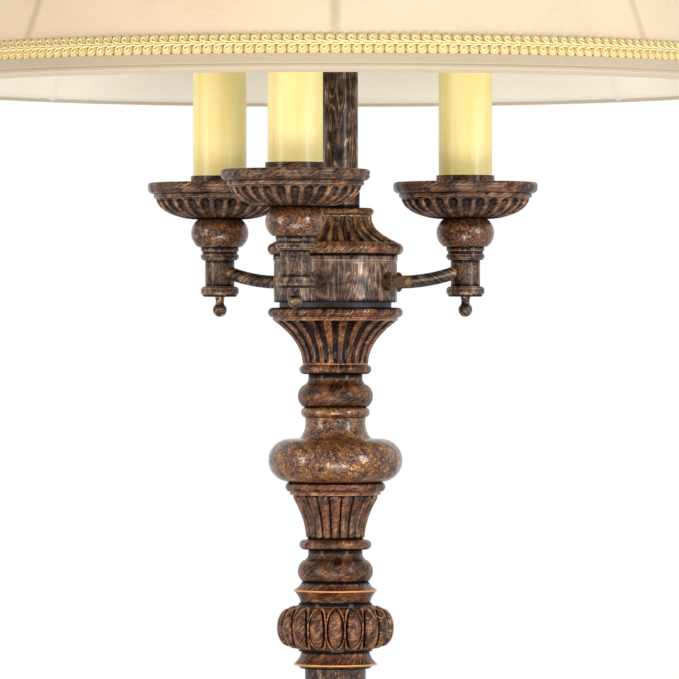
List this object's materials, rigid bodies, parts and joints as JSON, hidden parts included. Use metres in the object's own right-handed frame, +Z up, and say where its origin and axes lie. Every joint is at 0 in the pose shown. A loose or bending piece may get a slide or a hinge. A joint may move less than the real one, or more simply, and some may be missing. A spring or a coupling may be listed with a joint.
{
  "type": "candlestick floor lamp",
  "caption": "Floor lamp with a turned and fluted bronze column, a marble-effect knob, candle arms with drip cups, a rotary switch on its drum, and a bell-shaped panelled fabric shade.",
  "frame": {"origin": "centre of the base's underside, on the floor", "axes": "+Z up along the column, -Y to the front, +X to the viewer's right"},
  "size_m": [0.4842, 0.484, 1.5952],
  "materials": {
    "felt": "green felt",
    "bronze": "antique bronze paint brushed with gold, worn bright on its ridges",
    "stone_finish": "speckled brown and gold marble effect, satin varnish",
    "black": "satin black",
    "iron": "raw casting",
    "steel": "zinc plated",
    "brass": "lacquered brass",
    "black_plastic": "moulded",
    "porcelain": "glazed socket body",
    "candle_wax": "cream candle sleeve with soft vertical streaks",
    "bulb_glass": "frosted glass",
    "shade_fabric": "fine plain-weave shade fabric on a stiff backing",
    "lining_fabric": "smooth off-white lining",
    "hem_fabric": "folded bias tape",
    "braid": "gold gimp braid of looped cords"
  },
  "bodies": {
    "root": {"base_felt": "felt", "base_foot": "bronze", "base_dome": "bronze", "lower_vase": "bronze", "lower_melon_ring": "bronze", "pole_lower": "bronze", "pole_coupling": "bronze", "pole_upper": "bronze", "collar_bottom": "bronze", "melon_ring": "bronze", "collar_top": "bronze", "bulge_lower": "bronze", "vase_lower": "bronze", "bulge_upper": "bronze", "vase_upper": "bronze", "drum": "bronze", "drum_cap": "bronze", "stem_collar": "bronze", "stem_tube": "bronze", "shade_seat": "bronze", "arm_collars": "bronze", "casting_tips": "bronze", "candle_rings": "bronze", "lower_knob": "stone_finish", "stone_knob": "stone_finish", "stone_beads": "stone_finish", "drum_spacer": "black", "base_weight": "iron", "base_nut": "steel", "centre_pipe": "steel", "drum_nuts": "steel", "candle_nipples": "steel", "stem_stud": "steel", "switch_nut": "brass", "switch_body": "brass", "cord_bushing": "black_plastic", "sockets": "porcelain", "arm_front": "bronze", "casting_front": "bronze", "cup_front": "bronze", "sleeve_front": "candle_wax", "arm_right": "bronze", "casting_right": "bronze", "cup_right": "bronze", "sleeve_right": "candle_wax", "arm_left": "bronze", "casting_left": "bronze", "cup_left": "bronze", "sleeve_left": "candle_wax"},
    "switch_knob": {"switch_knob": "brass"},
    "shade": {"shade_cover": "shade_fabric", "shade_lining": "lining_fabric", "shade_hem": "hem_fabric", "shade_braid": "braid", "shade_frame": "steel", "shade_spider": "steel"},
    "finial": {"finial": "bronze"},
    "bulb_front": {"bulb_front": "bulb_glass"},
    "bulb_right": {"bulb_right": "bulb_glass"},
    "bulb_left": {"bulb_left": "bulb_glass"}
  },
  "joints": [
    {"name": "switch_turn", "type": "hinge", "parent": "root", "child": "switch_knob", "pos_m": [0.03477, -0.02173, 1.11344], "axis": [0.848, -0.5299, 0], "continuous": true},
    {"name": "shade_turn", "type": "hinge", "parent": "root", "child": "shade", "pos_m": [0, 0, 1.5365], "axis": [0, 0, 1], "continuous": true},
    {"name": "finial_turn", "type": "hinge", "parent": "root", "child": "finial", "pos_m": [0, 0, 1.5395], "axis": [0, 0, 1], "continuous": true},
    {"name": "bulb_front_turn", "type": "hinge", "parent": "root", "child": "bulb_front", "pos_m": [-0.02203, -0.07836, 1.26876], "axis": [0, 0, 1], "continuous": true},
    {"name": "bulb_right_turn", "type": "hinge", "parent": "root", "child": "bulb_right", "pos_m": [0.07377, 0.0344, 1.2646], "axis": [0, 0, 1], "continuous": true},
    {"name": "bulb_left_turn", "type": "hinge", "parent": "root", "child": "bulb_left", "pos_m": [-0.06585, 0.04785, 1.2646], "axis": [0, 0, 1], "continuous": true}
  ]
}
